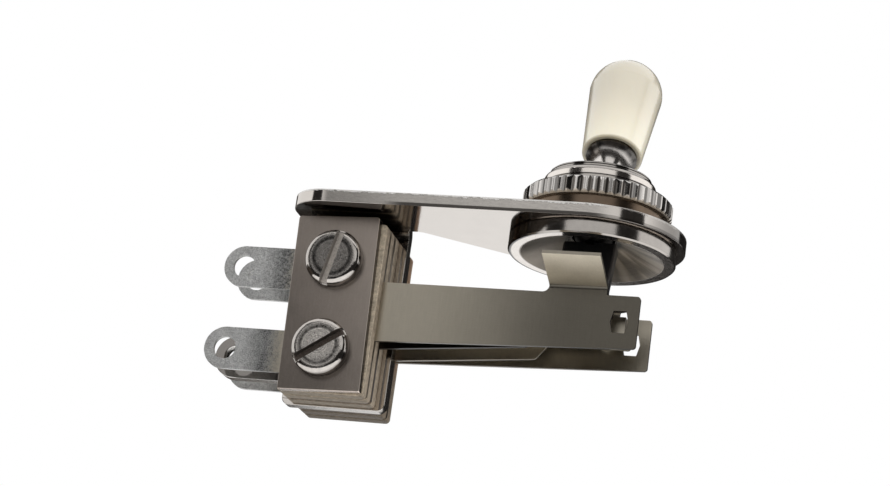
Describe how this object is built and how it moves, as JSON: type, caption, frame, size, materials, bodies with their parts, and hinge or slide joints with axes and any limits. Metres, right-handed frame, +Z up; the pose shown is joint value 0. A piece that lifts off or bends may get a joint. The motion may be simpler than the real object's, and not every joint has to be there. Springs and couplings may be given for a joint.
{
  "type": "right-angle pickup selector switch",
  "caption": "Right-angle toggle switch for an instrument: a folded bracket, a bushing with a knurled ring nut and a tipped lever, and a clamped stack of leaf springs.",
  "frame": {"origin": "on the bushing's axis, in the plane of the bracket's top face, where the ring nut seats", "axes": "+Z up the bushing towards the knob, +X from the leaf stack to the bushing, +Y from the clamp plate to the back of the stack"},
  "size_m": [0.0485, 0.0215, 0.0436],
  "materials": {
    "plated_steel": "polished nickel plate",
    "plated_brass": "polished nickel plate",
    "bare_steel": "satin",
    "screw_steel": "bright, turned",
    "spring_alloy": "satin, fine grain",
    "contact_alloy": "satin",
    "fibre_board": "matte, sawn edges",
    "sleeve_plastic": "matte",
    "black_moulding": "satin",
    "cream_plastic": "glossy"
  },
  "bodies": {
    "switch_body": {"frame_bracket": "plated_steel", "bushing": "plated_brass", "knurled_nut": "plated_brass", "pivot_pin": "bare_steel", "clamp_plate": "bare_steel", "nut_plate": "bare_steel", "upper_stack_screw": "screw_steel", "lower_stack_screw": "screw_steel", "upper_screw_sleeve": "sleeve_plastic", "lower_screw_sleeve": "sleeve_plastic", "front_cover_insulator": "fibre_board", "front_leaf_insulator": "fibre_board", "front_leg_insulator": "fibre_board", "rear_leg_insulator": "fibre_board", "rear_leaf_insulator": "fibre_board", "rear_cover_insulator": "fibre_board", "front_inner_leaf": "spring_alloy", "rear_inner_leaf": "spring_alloy", "front_contact": "contact_alloy", "rear_contact": "contact_alloy"},
    "lever": {"lever": "plated_brass", "lever_foot": "black_moulding", "knob_tip": "cream_plastic"},
    "front_leaf": {"front_outer_leaf": "spring_alloy"},
    "rear_leaf": {"rear_outer_leaf": "spring_alloy"}
  },
  "joints": [
    {"name": "lever_tilt", "type": "hinge", "parent": "switch_body", "child": "lever", "pos_m": [0, 0, 0.0002], "axis": [1, 0, 0], "range_deg": [0, 46]},
    {"name": "front_leaf_bend", "type": "hinge", "parent": "switch_body", "child": "front_leaf", "pos_m": [-0.02057, -0.00407, -0.01145], "axis": [0, 0, 1], "range_deg": [0, 2], "deforming": ["front_outer_leaf"]},
    {"name": "rear_leaf_bend", "type": "hinge", "parent": "switch_body", "child": "rear_leaf", "pos_m": [-0.02057, 0.00407, -0.01145], "axis": [0, 0, 1], "range_deg": [0, 2], "deforming": ["rear_outer_leaf"]}
  ],
  "couplings": [
    {"joint": "front_leaf_bend", "follows": "lever_tilt", "ratio": 0.0434},
    {"joint": "rear_leaf_bend", "follows": "lever_tilt", "ratio": 0.0434}
  ]
}
